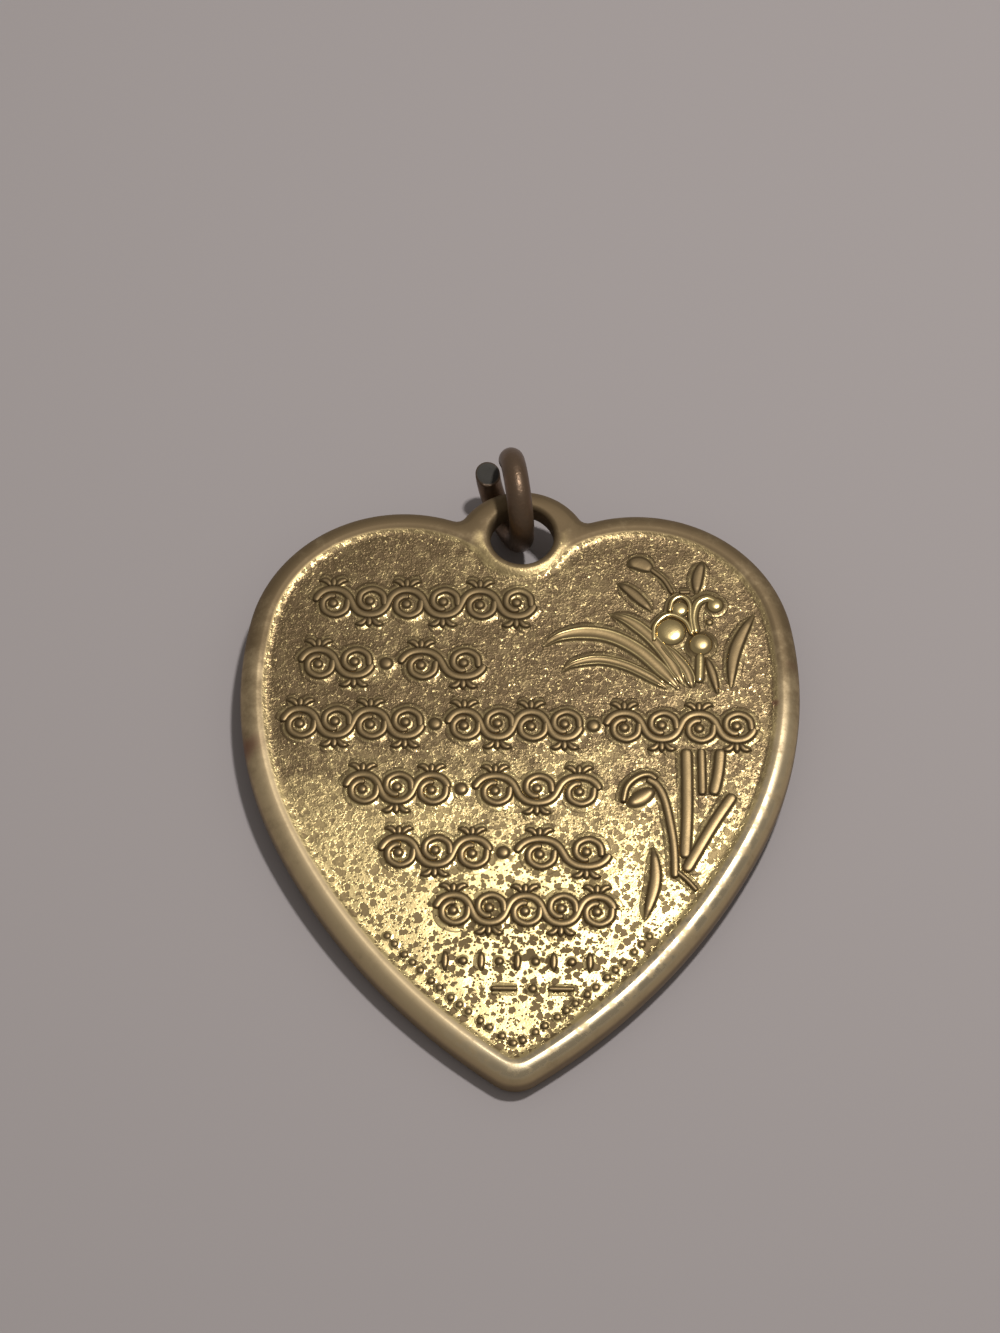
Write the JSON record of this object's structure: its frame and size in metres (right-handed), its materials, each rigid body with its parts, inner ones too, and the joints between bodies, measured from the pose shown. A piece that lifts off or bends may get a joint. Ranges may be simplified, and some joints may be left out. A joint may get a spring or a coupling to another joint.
{
  "type": "heart medal charm",
  "caption": "Flat heart-shaped struck brass charm with a raised rim, a lily spray and scroll ornament on its face, a pierced lug in the cleft and an open wire ring to hang it by.",
  "frame": {"origin": "middle of the flat back: on the charm's centre line, half way between the top of the lobes and the tip", "axes": "+X to the right of the face, +Y towards the lug, +Z out of the face"},
  "size_m": [0.0292, 0.036, 0.0056],
  "materials": {
    "struck_brass": "toned and speckled, worn bright on the rim and relief",
    "ring_wire": "dark copper-brown, dull"
  },
  "bodies": {
    "charm": {"heart_medal": "struck_brass"},
    "ring": {"jump_ring": "ring_wire"}
  },
  "joints": [
    {"name": "ring_turn", "type": "hinge", "parent": "charm", "child": "ring", "pos_m": [0, 0.0171, 0.0013], "axis": [1, 0, 0], "range_deg": [-40, 145]}
  ]
}
